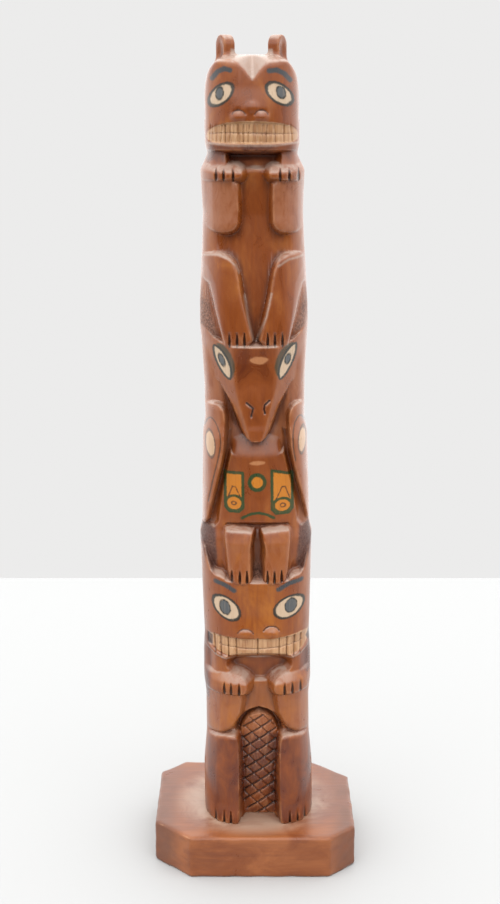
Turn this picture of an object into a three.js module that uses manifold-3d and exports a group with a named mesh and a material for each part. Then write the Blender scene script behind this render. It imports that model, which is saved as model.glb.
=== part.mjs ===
// A souvenir totem pole: one carved, leaning, round-sectioned wooden pole on an octagonal plinth.
// From the top it shows a bear, a long-beaked bird and a beaver, each sitting on the one below.
// Millimetres, +Z up, the carved front faces -Y, the origin is the middle of the plinth's underside.

import * as THREE from 'three';
import { mergeVertices } from 'three/addons/utils/BufferGeometryUtils.js';
import Module from 'manifold-3d';

const wasm = await Module();
wasm.setup();

// ---- driving dimensions -------------------------------------------------------------------

const TOTAL_HEIGHT = 305;
const PLINTH = { width: 76, depth: 67, height: 16, edge: 0.8 };
// How much of each plinth corner is sawn off, measured along either side.
const PLINTH_CORNERS = { frontLeft: 14, frontRight: 10, backRight: 14, backLeft: 9.5 };

const FOOT = PLINTH.height;
const HEAD_TOP = 298.7;
// The pole's middle stands this far right of the plinth's at its foot, and leans left as it rises.
const LEAN = { foot: 1.5, slope: -0.01 };
// The exponent of the blank's section: 2 is an ellipse, and more is squarer.
const SQUARENESS = 2.6;
const AROUND = 28;
// The front of the blank stands further out than its sides and back.
const FRONT_BULGE = 1.4;
// The carving reaches back from the front to this y, and the back is left plain.
const SIDE_LINE = -2;
const REACH = 40;

// The blank's half width at each height where its outline bends.
const PROFILE = [
  [FOOT, 20.8], [34, 20.8], [46, 19.7], [62, 19.6], [69, 20.3], [79, 20.3], [87, 19.8], [126, 20.9],
  [130, 20], [164, 19.2], [170, 18.2], [184, 18.4], [196, 19], [204, 19.6], [212, 19.5], [232, 18.4],
  [244, 17.9], [259, 18.5], [262, 17], [264.5, 15.9], [268, 16.7], [284, 16.8], [HEAD_TOP + 1, 15.4],
];

// How far each layer of the relief lies behind the blank's front.
const LAYER = { skin: 0, forearm: 0.7, belly: 5.6, legGap: 7, neck: 8 };
// How deep the small cuts go, and how wide the straight ones are.
const CUT = { mouth: 1.2, tooth: 1.9, claw: 1.3, toothWidth: 0.5, clawWidth: 1.3 };

// Heights on each figure.
const BEAR = {
  brow: 289.4, nose: 278.4, mouth: [268.4, 275.8], chin: 265.4, paws: [256, 261.6], feet: 198.4,
};
const BIRD = { brow: 198.3, cheek: 186, beakTip: 163.8, legTop: 132.3, claws: 111.2 };
const BEAVER = { crown: 112, nose: 91.8, mouth: [82, 90.2], chin: 80.2, knee: 51, tail: 58.6 };
// The beaver's tail: the y of its leaning front at its foot and top, and its scored lines.
const TAIL = {
  front: [-12.7, -16],
  score: { depth: 0.8, width: 0.7 },
  families: [{ rise: 0.67, spacing: 4.4, from: 12 }, { rise: -0.95, spacing: 5.6, from: 20 }],
};
// The bear's ears: their root's height, their place, and their turn towards the front in degrees.
const EAR = { length: 4.2, halfWidth: 3.6, root: 293, out: 10.9, forward: 5, turn: 27 };

// ---- from three.js geometry to solids and back -----------------------------------------------

function toSolid(geometry) {
  const bare = geometry.index ? geometry.toNonIndexed() : geometry;
  for (const name of Object.keys(bare.attributes)) {
    if (name !== 'position') bare.deleteAttribute(name);
  }
  const merged = mergeVertices(bare, 1e-4);
  return new wasm.Manifold(new wasm.Mesh({
    numProp: 3,
    vertProperties: new Float32Array(merged.attributes.position.array),
    triVerts: new Uint32Array(merged.index.array),
  }));
}

function toGeometry(solid) {
  const mesh = solid.getMesh();
  const geometry = new THREE.BufferGeometry();
  geometry.setAttribute('position', new THREE.BufferAttribute(new Float32Array(mesh.vertProperties), 3));
  geometry.setIndex(new THREE.BufferAttribute(new Uint32Array(mesh.triVerts), 1));
  return geometry;
}

const joinAll = (solids) => solids.reduce((sum, solid) => sum.add(solid));

// ---- the blank and the tools that carve it ---------------------------------------------------

// A closed column through rows of [height, half width, front depth, back depth].
function loft(rows, squareness = SQUARENESS, around = AROUND) {
  const geometry = new THREE.CylinderGeometry(1, 1, 1, around, rows.length - 1);
  const position = geometry.attributes.position;
  const flatten = (value) => Math.sign(value) * Math.abs(value) ** (2 / squareness);
  for (let i = 0; i < position.count; i += 1) {
    const row = Math.round((position.getY(i) + 0.5) * (rows.length - 1));
    const [height, halfWidth, front, back] = rows[row];
    const across = flatten(position.getX(i)) * halfWidth;
    const forward = flatten(position.getZ(i));
    position.setXYZ(i, across, -forward * (forward > 0 ? front : back), height);
  }
  return toSolid(geometry);
}

// The blank with its front cut back by a distance.
function column(inset) {
  return loft(PROFILE.map(([z, halfWidth]) => [z, halfWidth, halfWidth + FRONT_BULGE - inset, halfWidth]));
}

// A prism from an outline drawn in x (right) and z (up), between two distances in y.
function prism(shape, from = -REACH, to = SIDE_LINE) {
  const options = { depth: to - from, bevelEnabled: false, curveSegments: 6 };
  const geometry = new THREE.ExtrudeGeometry(shape, options);
  geometry.rotateX(Math.PI / 2);
  geometry.translate(0, to, 0);
  return toSolid(geometry);
}

// A prism across the whole pole, from a side outline drawn in y and z.
function crossPrism(shape) {
  return prism(shape, -REACH, REACH).rotate([0, 0, 90]);
}

const layer = (shape, inset) => prism(shape).intersect(column(inset));
const recess = (shape, inset) => prism(shape).subtract(column(inset));

function polygon(points) {
  return new THREE.Shape(points.map(([x, z]) => new THREE.Vector2(x, z)));
}

// The two outlines, left and right, of a limb given by its distance from the figure's middle.
function pair(middle, points) {
  return [-1, 1].map((side) => polygon(points.map(([out, z]) => [middle + side * out, z])));
}

// One outline across the whole figure, from its right half: bottom to top, middle to side.
function whole(middle, points) {
  const right = points.map(([out, z]) => [middle + out, z]);
  const left = points.map(([out, z]) => [middle - out, z]).reverse();
  return polygon([...right, ...left]);
}

// Knife cuts between toes: pointed at the top and widest near the foot.
function claws(places, low, high) {
  const waist = low + (high - low) * 0.25;
  const half = CUT.clawWidth / 2;
  return places.map((x) => recess(
    polygon([[x, high], [x - half, waist], [x - half / 2, low], [x + half / 2, low], [x + half, waist]]),
    CUT.claw,
  ));
}

// A straight cut of even width between two points.
function score(from, to, width) {
  const along = new THREE.Vector2(to[0] - from[0], to[1] - from[1]).normalize();
  const [dx, dz] = [-along.y * width / 2, along.x * width / 2];
  return polygon([
    [from[0] + dx, from[1] + dz], [from[0] - dx, from[1] - dz],
    [to[0] - dx, to[1] - dz], [to[0] + dx, to[1] + dz],
  ]);
}

// Upright cuts between teeth.
function teeth(places, [low, high]) {
  return places.map((x) => recess(score([x, low], [x, high], CUT.toothWidth), CUT.tooth));
}

// The two round wings of a nose, each this far out from the figure's middle.
function nostrils(middle, out, y, z, halfSizes) {
  return [-1, 1].map((side) => {
    const geometry = new THREE.SphereGeometry(1, 10, 6);
    geometry.rotateX(Math.PI / 2);
    geometry.scale(...halfSizes);
    geometry.translate(middle + side * out, y, z);
    return toSolid(geometry);
  });
}

// ---- the bear ----------------------------------------------------------------------------------

function bearHead() {
  const front = new THREE.Shape();
  front.moveTo(17.5, BEAR.chin + 1);
  front.lineTo(16.8, 286);
  front.bezierCurveTo(16.2, 294, 13, HEAD_TOP, 4, HEAD_TOP);
  front.lineTo(-4, HEAD_TOP);
  front.bezierCurveTo(-13, HEAD_TOP, -16.2, 294, -16.8, 286);
  front.lineTo(-17.5, BEAR.chin + 1);
  front.lineTo(-12, BEAR.chin);
  front.lineTo(12, BEAR.chin);
  const side = polygon([
    [-30, BEAR.chin - 1], [-30, 290], [-17.8, 296], [-9, HEAD_TOP], [9, HEAD_TOP], [14.5, 295], [16, 288],
    [18, BEAR.chin - 3],
  ]);
  return column(LAYER.skin).intersect(prism(front, -REACH, REACH)).intersect(crossPrism(side));
}

// The valley that runs up and back from the middle of the brow.
function browValley() {
  const [width, climb, browFront] = [12, 0.85, -18.2];
  const valley = toGeometry(prism(polygon([[0.3, 0], [0.3 + width, width], [0.3 - width, width]]), -25, 5));
  const position = valley.attributes.position;
  for (let i = 0; i < position.count; i += 1) {
    position.setZ(i, position.getZ(i) + BEAR.brow + (position.getY(i) - browFront) * climb);
  }
  return toSolid(valley);
}

// Each ear is a short arched bar, turned so that its open outer end looks forwards.
function bearEars() {
  const arch = new THREE.Shape();
  const { halfWidth } = EAR;
  arch.moveTo(-halfWidth, EAR.root);
  arch.lineTo(-halfWidth * 0.95, TOTAL_HEIGHT - 5);
  arch.quadraticCurveTo(-halfWidth * 0.67, TOTAL_HEIGHT, 0, TOTAL_HEIGHT);
  arch.quadraticCurveTo(halfWidth * 0.67, TOTAL_HEIGHT, halfWidth * 0.95, TOTAL_HEIGHT - 5);
  arch.lineTo(halfWidth, EAR.root);
  return [-1, 1].map((side) => {
    const geometry = toGeometry(prism(arch, -EAR.length, 0));
    geometry.rotateZ(-side * THREE.MathUtils.degToRad(90 + EAR.turn));
    geometry.translate(side * EAR.out, -EAR.forward, 0);
    return toSolid(geometry);
  });
}

function bearLayers() {
  const [pawLow, pawHigh] = BEAR.paws;
  const paws = [
    [21, 261], [15, pawHigh], [6.5, pawHigh], [4.6, 260], [4.4, 257.6], [5.5, pawLow], [21, 255.6],
  ];
  const arms = [
    [21, 262], [5.6, 259], [5.4, 242], [6.6, 239], [8.6, 237.6], [13, 237.3], [17, 239], [21, 243],
  ];
  const legs = [
    [0.3, BEAR.feet], [2.5, 207], [4.5, 215], [5.8, 224], [7.2, 228], [9.6, 230.6], [13.4, 231.5],
    [17, 230.8], [21, 229], [21, 222], [16.9, 221], [15.6, 216], [14, 208], [12.4, 202],
    [10.9, BEAR.feet],
  ];
  return [
    bearHead(),
    ...nostrils(0, 3.1, -16.4, BEAR.nose, [3, 3.2, 2.1]),
    ...pair(1, paws).map((shape) => layer(shape, LAYER.skin)),
    ...pair(0.9, arms).map((shape) => layer(shape, LAYER.forearm)),
    ...pair(0.7, legs).map((shape) => layer(shape, LAYER.skin)),
  ];
}

function bearCuts() {
  const [low, high] = BEAR.mouth;
  const mouth = [[12, low], [15.8, low + 1], [15.7, high - 2.4], [7, high - 0.5]];
  return [
    browValley(),
    recess(whole(0.2, mouth), CUT.mouth),
    recess(score([-15.4, 271.8], [15.8, 271.8], CUT.toothWidth), CUT.tooth),
    ...teeth([-13.4, -10.6, -7.6, -4.6, -1.4, 1.6, 4.8, 7.8, 10.8, 13.6], BEAR.mouth),
    ...claws([-12.6, -10, -6.7, 9.5, 12.7, 16], BEAR.paws[0], BEAR.paws[0] + 5),
    ...claws([-8.7, -6, -3.4, 4.8, 7.3, 10], BEAR.feet - 0.5, BEAR.feet + 6),
  ];
}

// ---- the bird ----------------------------------------------------------------------------------

// The beak's long ridged wedge, whose lower edges stand clear of the neck.
function beak() {
  const [hinge, behind] = [-13, 7];
  const rows = [
    [BIRD.beakTip, 2.4, 6.4], [165.2, 3.9, 7], [168, 5.2, 7.5],
    [176.7, 9.2, 7.8], [185, 14, 7.2], [190, 17, 4.5],
  ];
  return loft(rows.map((row) => [...row, behind]), 2.2, 20).translate([0.2, hinge, 0]);
}

function birdLayers() {
  const head = [
    [12, BIRD.cheek - 1], [21, BIRD.cheek + 1], [21, 205.5], [18.5, 204.5], [14.5, 200.5], [11, BIRD.brow],
  ];
  const wings = [
    [21, 173.5], [18, 176], [14.5, 177], [12, 175.5], [11.1, 172], [12, 162], [13.6, 152], [15.8, 145],
    [18, 137], [19.3, 130.5], [21.5, 129],
  ];
  const legs = [
    [3.3, BIRD.claws], [2.4, 118], [2.9, 124], [2.4, 131.5], [3.2, BIRD.legTop], [10.6, BIRD.legTop],
    [11.4, 131], [11, 124], [11.2, 117], [9.8, BIRD.claws],
  ];
  return [
    layer(whole(0.2, head), LAYER.skin),
    beak(),
    ...pair(0.8, wings).map((shape) => layer(shape, LAYER.skin)),
    ...pair(0.6, legs).map((shape) => layer(shape, LAYER.skin)),
  ];
}

function birdCuts() {
  const wingGrooves = [
    [8, 168], [12, 165], [13.5, 152], [18, 137], [19.3, 129], [15.2, 129], [14.3, 138], [12, 150],
  ];
  const betweenLegs = [[2.6, BIRD.claws + 0.3], [2.6, BIRD.legTop - 0.3]];
  const besideBearLegs = [
    [16.4, 217], [14.2, 208], [12.3, 200.2], [14.5, 200.7], [18.5, 204.7], [22, 206], [22, 214.5],
  ];
  return [
    ...pair(0.8, wingGrooves).map((shape) => recess(shape, LAYER.neck)),
    recess(whole(0.6, betweenLegs), LAYER.legGap),
    ...pair(0.7, besideBearLegs).map((shape) => recess(shape, LAYER.legGap)),
    ...claws([-8.9, -6, -3.4, 4.1, 6.6, 9.2], BIRD.claws, BIRD.claws + 6),
  ];
}

// ---- the beaver --------------------------------------------------------------------------------

// The tail's front is flat and leans back towards its foot.
function tailBlock(inset) {
  const [foot, top] = TAIL.front;
  const high = BEAVER.tail + 6;
  return crossPrism(polygon([[foot + inset, FOOT], [0, FOOT], [0, high], [top + inset, high]]));
}

// The tail's outline, an upright strip with an arched top, drawn in by a margin.
function tailArch(margin) {
  const half = 7.6 - margin;
  const top = BEAVER.tail - margin;
  return whole(0.5, [[half, FOOT], [half, 49], [half * 0.84, 54], [half * 0.5, top - 1.2], [0.01, top]]);
}

function beaverLayers() {
  const head = [
    [4, BEAVER.chin], [10, BEAVER.chin + 1], [16.5, 82.3], [19, 83.8], [22, 85], [22, 126], [19.8, 123],
    [18, 118], [15.8, 115], [12, 115.6], [11, BEAVER.crown],
  ];
  const paws = [[5.1, 69.5], [5.1, 73], [8.5, 75.8], [15, 75.2], [17, 73.5], [17.5, 67.3], [7.5, 68]];
  const arms = [[5.4, 72], [6.2, 61.4], [8.6, 55], [12, 51.8], [16, 50], [22, 48.8], [22, 70], [16, 74]];
  const legs = [
    [7.6, FOOT], [7, 22], [7, 34], [7.2, 47], [8, 50.4], [10, BEAVER.knee], [14, 50.6], [17.4, 48.4],
    [19.4, 45], [22, 42], [22, FOOT],
  ];
  return [
    layer(whole(0.3, head), LAYER.skin),
    ...nostrils(0.6, 4.6, -19.4, BEAVER.nose, [3.7, 3.4, 2.4]),
    ...pair(1.2, paws).map((shape) => layer(shape, LAYER.skin)),
    ...pair(0.8, arms).map((shape) => layer(shape, LAYER.forearm)),
    ...pair(0.4, legs).map((shape) => layer(shape, LAYER.skin)),
    prism(tailArch(0)).intersect(tailBlock(0)),
  ];
}

// The tail's two families of parallel scores.
function tailScores() {
  const cuts = TAIL.families.flatMap(({ rise, spacing, from }) => {
    const count = Math.ceil((BEAVER.tail + 6 - from) / spacing);
    return Array.from({ length: count }, (_, i) => from + i * spacing)
      .map((z) => prism(score([-7.4, z - 7.4 * rise], [8.2, z + 8.2 * rise], TAIL.score.width)));
  });
  return joinAll(cuts).intersect(prism(tailArch(0.7))).subtract(tailBlock(TAIL.score.depth));
}

function beaverCuts() {
  const neck = [[4.6, 73], [7, 76.5], [14, 77], [16, BEAVER.chin], [4, BEAVER.chin - 0.2]];
  const besideBirdLegs = [
    [15.2, 129], [14.4, 122], [12.4, 115.9], [15.8, 115.3], [18, 118.3], [19.8, 123.3],
    [22, 126.3], [22, 129],
  ];
  const behindLegs = [[17, FOOT + 2], [24, FOOT + 2], [24, 36], [20.5, 40], [18, 36]];
  const [low, high] = BEAVER.mouth;
  const mouth = [[10, low + 0.3], [15, low + 0.9], [18.6, low + 3.4], [18.4, high - 0.8], [8, high - 0.4]];
  return [
    recess(whole(0.5, neck), LAYER.neck),
    ...pair(0.6, besideBirdLegs).map((shape) => recess(shape, LAYER.legGap)),
    ...pair(0.3, behindLegs).map((shape) => prism(shape, -3, 3)),
    recess(whole(0.3, mouth), CUT.mouth),
    ...teeth([-15.6, -13.4, -10.6, -7.6, 0.3, 8.2, 11, 13.8, 16.2], BEAVER.mouth),
    ...claws([-12.3, -9.8, -6.8, 10.1, 13, 16.1], 67, 73),
    ...claws([-16.2, -13, -10.5, 11.8, 14.8, 17.6], FOOT - 1, FOOT + 5),
    tailScores(),
  ];
}

// ---- the pole and the plinth -----------------------------------------------------------------

// Tips the upright pole over by its lean, as a shear that keeps its foot flat.
function lean(geometry) {
  const position = geometry.attributes.position;
  for (let i = 0; i < position.count; i += 1) {
    position.setX(i, position.getX(i) + LEAN.foot + LEAN.slope * (position.getZ(i) - FOOT));
  }
  return geometry;
}

function totemPole() {
  const aboveChin = whole(0, [[22, BEAR.chin], [22, TOTAL_HEIGHT]]);
  const behindBeak = whole(0.2, [[5, 158], [14, 164], [22, 170], [22, BIRD.cheek + 1]]);
  const core = column(LAYER.belly)
    .subtract(prism(aboveChin, -REACH, REACH))
    .subtract(recess(behindBeak, LAYER.neck));
  const layered = joinAll([core, ...bearLayers(), ...birdLayers(), ...beaverLayers()]);
  const carved = layered.subtract(joinAll([...bearCuts(), ...birdCuts(), ...beaverCuts()]));
  return lean(toGeometry(joinAll([carved, ...bearEars()])));
}

function plinth() {
  const [x, y] = [PLINTH.width / 2 - PLINTH.edge, PLINTH.depth / 2 - PLINTH.edge];
  const { frontLeft, frontRight, backRight, backLeft } = PLINTH_CORNERS;
  const board = polygon([
    [-x + frontLeft, -y], [x - frontRight, -y], [x, -y + frontRight], [x, y - backRight],
    [x - backRight, y], [-x + backLeft, y], [-x, y - backLeft], [-x, -y + frontLeft],
  ]);
  const geometry = new THREE.ExtrudeGeometry(board, {
    depth: PLINTH.height - 2 * PLINTH.edge,
    bevelThickness: PLINTH.edge,
    bevelSize: PLINTH.edge,
    bevelSegments: 2,
  });
  geometry.translate(0, 0, PLINTH.edge);
  return geometry;
}

function part(name, geometry, color, roughness) {
  const mesh = new THREE.Mesh(geometry, new THREE.MeshStandardMaterial({ color, roughness, metalness: 0 }));
  mesh.name = name;
  return mesh;
}

const group = new THREE.Group();
group.add(part('totem_pole', totemPole(), 0x9a5230, 0.4));
group.add(part('plinth', plinth(), 0x9c6040, 0.45));

export default group;
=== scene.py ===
"""A carved and painted model totem pole: a bear, a long-beaked bird and a beaver on a plinth.

The pole is carved as a field of distances in millimetres and then meshed.  Its relief is a map of
heights over the blank's front, in the pole's own frame: x to the right of its leaning middle
line, z up, and height 0 on the blank's skin, less towards its middle.
"""

import math

import bpy
import numpy as np
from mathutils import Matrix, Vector


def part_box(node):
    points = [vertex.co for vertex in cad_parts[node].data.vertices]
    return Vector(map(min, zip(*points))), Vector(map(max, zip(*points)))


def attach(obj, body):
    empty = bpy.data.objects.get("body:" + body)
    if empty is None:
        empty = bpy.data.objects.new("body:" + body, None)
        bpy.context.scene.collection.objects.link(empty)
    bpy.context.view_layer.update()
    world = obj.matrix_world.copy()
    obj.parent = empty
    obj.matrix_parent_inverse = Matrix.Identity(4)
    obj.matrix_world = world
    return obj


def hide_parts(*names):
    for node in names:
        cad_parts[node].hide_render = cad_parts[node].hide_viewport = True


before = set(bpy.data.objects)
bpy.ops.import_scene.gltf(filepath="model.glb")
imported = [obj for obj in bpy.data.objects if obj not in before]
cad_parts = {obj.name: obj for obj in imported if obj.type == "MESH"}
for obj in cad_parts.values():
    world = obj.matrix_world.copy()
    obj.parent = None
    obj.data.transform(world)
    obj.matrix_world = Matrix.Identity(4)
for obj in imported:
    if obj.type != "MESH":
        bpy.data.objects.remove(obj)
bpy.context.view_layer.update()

MM = 0.001
pole_low, pole_high = (np.array(corner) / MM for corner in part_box("totem_pole"))
plinth_low, plinth_high = (np.array(corner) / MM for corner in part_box("plinth"))

# ---- the blank ----

FOOT = pole_low[2]
TOP = pole_high[2]
# The pole's middle stands this far right of the plinth's at its foot, and leans left as it rises.
LEAN_FOOT, LEAN_SLOPE = 1.5, -0.01
FRONT_BULGE = 1.4
# The blank's half width at each height where its outline bends.
PROFILE = np.array([
    (16, 20.8), (34, 20.8), (46, 19.7), (62, 19.6), (69, 20.3), (79, 20.3), (87, 19.8), (126, 20.9),
    (130, 20), (164, 19.2), (170, 18.2), (184, 18.4), (196, 19), (204, 19.6), (212, 19.5),
    (232, 18.4), (244, 17.9), (259, 18.5), (262, 17), (264.5, 15.9), (268, 16.7), (284, 16.8),
    (306, 15.4),
])

STEP = 0.34
SIDE_REACH, FRONT_REACH, BACK_REACH = 23.8, -24, 23.5
PLAIN_FROM = 1
x_line = np.arange(-SIDE_REACH, SIDE_REACH + STEP, STEP)
z_line = np.arange(FOOT - 2.5 * STEP, TOP + 3 * STEP, STEP)
# The plain back needs only a coarse grid.
y_line = np.concatenate([
    np.arange(FRONT_REACH, PLAIN_FROM, STEP), np.arange(PLAIN_FROM, BACK_REACH, 3 * STEP),
])
X, Z = np.meshgrid(x_line, z_line, indexing="ij")


def blurred(values, reach):
    """A row of values, each averaged with its neighbours within a reach in mm."""
    count = max(1, int(round(reach / STEP)))
    kernel = np.hanning(2 * count + 3)
    padded = np.pad(values, count + 1, mode="edge")
    return np.convolve(padded, kernel / kernel.sum(), mode="valid")


half_width = blurred(np.interp(z_line, PROFILE[:, 0], PROFILE[:, 1]), 1.0)
squareness = np.interp(z_line, [FOOT, 30, 60, 255, 268, 300], [3.1, 2.9, 2.6, 2.6, 2.9, 2.9])
SIDE = np.clip(np.abs(X) / half_width, 0, 0.985)
FALL = (1 - SIDE**squareness) ** (1 / squareness)


# ---- drawing on the map of heights ----


def smooth(points, rounds=2):
    """A closed outline with its corners cut round."""
    points = np.array(points, float)
    for _ in range(rounds):
        after = np.roll(points, -1, axis=0)
        points = np.stack([0.75 * points + 0.25 * after, 0.25 * points + 0.75 * after], axis=1)
        points = points.reshape(-1, 2)
    return points


def mirrored(middle, points):
    """A limb's outline on the left and on the right, from its distance out from a middle line."""
    return [[(middle + side * out, z) for out, z in points] for side in (-1, 1)]


def whole(middle, points):
    """An outline across the figure, from its right half, drawn from bottom to top."""
    right = [(middle + out, z) for out, z in points]
    left = [(middle - out, z) for out, z in points]
    return right + left[::-1]


def segments(points, closed):
    points = np.array(points, float)
    ends = np.roll(points, -1, axis=0)
    count = len(points) if closed else len(points) - 1
    return points[:count], ends[:count]


def path_distance(points, x, z, closed=False):
    """The distance to a line through the points."""
    best = np.full(x.shape, 1e6)
    for (ax, az), (bx, bz) in zip(*segments(points, closed)):
        ex, ez = bx - ax, bz - az
        along = ((x - ax) * ex + (z - az) * ez) / max(ex * ex + ez * ez, 1e-9)
        along = np.clip(along, 0, 1)
        best = np.minimum(best, (x - ax - along * ex) ** 2 + (z - az - along * ez) ** 2)
    return np.sqrt(best)


def inside_distance(points, x, z):
    """The distance to a closed outline, positive inside it and negative outside."""
    inside = np.zeros(x.shape, bool)
    for (ax, az), (bx, bz) in zip(*segments(points, True)):
        if az == bz:
            continue
        crosses = (az > z) != (bz > z)
        inside ^= crosses & (x < ax + (z - az) * (bx - ax) / (bz - az))
    return np.where(inside, 1, -1) * path_distance(points, x, z, closed=True)


def hinge(value, radius):
    """Zero below nought, then a rounded turn of a radius into a straight rise."""
    value = np.maximum(value, 0)
    return np.where(value < radius, value * value / (2 * radius), value - radius / 2)


def smooth_max(a, b, reach):
    mix = np.clip(0.5 + 0.5 * (a - b) / reach, 0, 1)
    return b + (a - b) * mix + reach * mix * (1 - mix)


def smooth_min(a, b, reach):
    return -smooth_max(-a, -b, reach)


def ramp(value, start, end):
    """A soft step from 0 at start to 1 at end."""
    t = np.clip((value - start) / (end - start), 0, 1)
    return t * t * (3 - 2 * t)


def rows_between(low, high):
    return slice(*np.searchsorted(z_line, [low, high]))


def rows_of(points, margin):
    heights = np.array(points)[:, 1]
    return rows_between(heights.min() - margin, heights.max() + margin)


# A form's own edge: its width, the radius it turns with and its slope.
WALL = (0.7, 0.7, 5.0)
# How far past its outline a form is worked out, and how softly forms run together.
MARGIN, BLEND = 4, 0.4
FLOOR_TURN = 0.6


def lift(height, outline, top, edges=(WALL,)):
    """Raises a form to its top, and lets each edge fall away towards the outline."""
    rows = rows_of(outline, MARGIN)
    x, z = X[:, rows], Z[:, rows]
    depth = inside_distance(outline, x, z)
    level = top(x, z) if callable(top) else top
    for width, radius, slope in edges:
        level = level - slope * hinge(width - depth, radius)
    height[:, rows] = smooth_max(height[:, rows], level, BLEND)


def lift_pair(height, middle, points, top, edges=(WALL,)):
    """Raises the same rounded form on the left and on the right of a middle line."""
    for shape in mirrored(middle, points):
        lift(height, smooth(shape, 1), top, edges)


def sink(height, outline, floor, slope=5.0):
    """Cuts a form down to its floor, with walls that rise outwards."""
    rows = rows_of(outline, MARGIN)
    x, z = X[:, rows], Z[:, rows]
    depth = inside_distance(outline, x, z)
    floor = floor(x, z) if callable(floor) else floor
    level = floor + slope * hinge(FLOOR_TURN / 2 - depth, FLOOR_TURN)
    height[:, rows] = smooth_min(height[:, rows], level, BLEND)


def recess(height, outline, depth):
    """Cuts a form to an even depth below what is there."""
    floor = height[:, rows_of(outline, MARGIN)] - depth
    sink(height, outline, lambda x, z: floor, slope=3)


def darken(rows, amount):
    """Leaves dark stain and painted shade on the map, where it isn't darker yet."""
    stain_and_shade_map[:, rows] = np.maximum(stain_and_shade_map[:, rows], amount)


def score(height, points, width, depth, dark=0.6):
    """Scores a line of even width, and leaves dark stain and painted shade in it."""
    rows = rows_of(points, width)
    line = 1 - ramp(path_distance(points, X[:, rows], Z[:, rows]), width * 0.15, width * 0.5)
    height[:, rows] -= depth * line
    darken(rows, dark * line)


def arch(x, z, half_width, rise):
    """The upper half of an oval, as a path."""
    angles = np.radians(np.arange(165, 14, -15))
    return [(x + half_width * math.cos(a), z + rise * math.sin(a)) for a in angles]


def notch(height, outline, depth, width=0.35):
    """A knife cut that deepens from its outline inwards, with dark paint and painted shade in it."""
    rows = rows_of(outline, 2)
    cut = ramp(inside_distance(outline, X[:, rows], Z[:, rows]), -width / 2, width)
    height[:, rows] -= depth * cut
    darken(rows, cut)


def level_of(y, rows):
    """The height that puts the surface at a distance y behind the front."""
    return -y / FALL[:, rows] - half_width[rows] - FRONT_BULGE


# ---- the three figures ----

# Heights of the deepest layers, below the skin at 0.
BELLY = -5.6
NECK = -8.0
CLAW_HALF = 0.6


def claw(x, low, high):
    """A cut between toes: pointed at the top and widest a third of the way up."""
    waist = low + (high - low) * 0.3
    half = CLAW_HALF
    outline = [(x, high), (x - half, waist), (x - half / 2, low), (x + half / 2, low), (x + half, waist)]
    return smooth(outline, 1)


def claws(height, places, low, high, depth=1.2):
    for x in places:
        notch(height, claw(x, low, high), depth)


def bear_body(height):
    # The flanks stand nearer the skin than the belly between them.
    for shape in mirrored(0.5, [(10, 221), (26, 221), (26, 262), (10, 262)]):
        lift(height, shape, -3.2, [(4, 3, 0.7)])
    # Shoulders stand behind the paws, and the throat between them is cut deep.
    for shape in mirrored(0.4, [(8.6, 256), (15.3, 256), (15.3, 268), (8.6, 268)]):
        lift(height, shape, -2.6, [(1.5, 1.5, 1.5)])
    sink(height, whole(0.4, [(7.4, 260.5), (7.8, 267)]), NECK, slope=2.5)

    legs = [
        (0.5, 198), (2.5, 207), (4.5, 215), (5.8, 224), (7.2, 228), (9.6, 230.6), (13.4, 231.5),
        (17, 230.8), (24, 229), (24, 222), (16.9, 221), (15.6, 216), (14, 208), (12.4, 202), (10.9, 197),
    ]

    def knee_top(x, z):
        out = np.abs(x - 0.7)
        shin = np.interp(z, [203, 213, 220, 226, 229], [11.5, 12.9, 13.7, 16.6, 24])
        over = z - 229.2 + 0.35 * np.maximum(12 - out, 0)
        return 0.1 - 0.75 * hinge(out - shin, 0.5) - 0.9 * hinge(over, 0.6)

    lift_pair(height, 0.7, legs, knee_top, [(0.5, 0.5, 5), (1.4, 0.5, 0.7)])
    arms = [(24, 262), (5.6, 259), (5.4, 242), (6.6, 239), (8.6, 237.6), (13, 237.3), (17, 239), (24, 243)]

    def arm_top(x, z):
        return np.interp(z, [238, 241, 256], [-0.8, -0.6, -1.9]) - 0.7 * hinge(np.abs(x - 0.9) - 14.6, 0.6)

    lift_pair(height, 0.9, arms, arm_top, [(0.9, 0.9, 3), (2.0, 1.4, 0.4)])
    paws = [(24, 261), (15, 261.6), (6.5, 261.6), (4.4, 260), (4.2, 257.6), (5.5, 255.8), (24, 255.4)]

    def paw_top(x, z):
        return 0.4 - 1.1 * hinge(z - 257.8, 1.0) - 0.35 * hinge(np.abs(x - 1) - 13, 2)

    lift_pair(height, 1, paws, paw_top, [(0.8, 0.8, 3)])
    claws(height, [-12.6, -10, -6.7, 9.5, 12.7, 16], 255.4, 261)
    claws(height, [-8.7, -6, -3.4, 4.8, 7.3, 10], 197.6, 204.6, 1.0)


MOUTH_DEPTH = 0.9


def bear_head(height):
    lift(height, [(-30, 265.4), (30, 265.4), (30, 310), (-30, 310)], 0, [(0.9, 0.9, 5)])
    # The muzzle swells a little towards the teeth, and the lower lip turns under.
    rows = rows_between(262, 300)
    x, z = X[:, rows], Z[:, rows]
    height[:, rows] += 0.9 * ramp(z, 288, 278) * ramp(np.abs(x), 13, 4) * ramp(z, 264, 270)
    mouth = whole(0.2, [(12, 268.4), (15.8, 269.4), (16.4, 271.5), (15.7, 273.4), (7, 275.3)])
    recess(height, smooth(mouth, 1), MOUTH_DEPTH)
    for x in (-4.6, 3.2):
        score(height, arch(x, 277.6, 2.3, 1.9), 0.7, 0.6, 0.7)


# The scored line round each wing's oval.
WING_LINES = (
    [(-18.4, 167.4), (-17.0, 170.6), (-15.6, 171.5), (-14.0, 169.8), (-12.6, 166.4), (-12.3, 162.4),
     (-13.2, 157.6), (-14.9, 151.0), (-16.6, 143.4), (-17.4, 140.0)],
    [(18.6, 168.4), (17.0, 171.8), (15.6, 172.0), (14.2, 169.6), (13.6, 165.6), (13.8, 160.6), (14.6, 156.0)],
)


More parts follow.
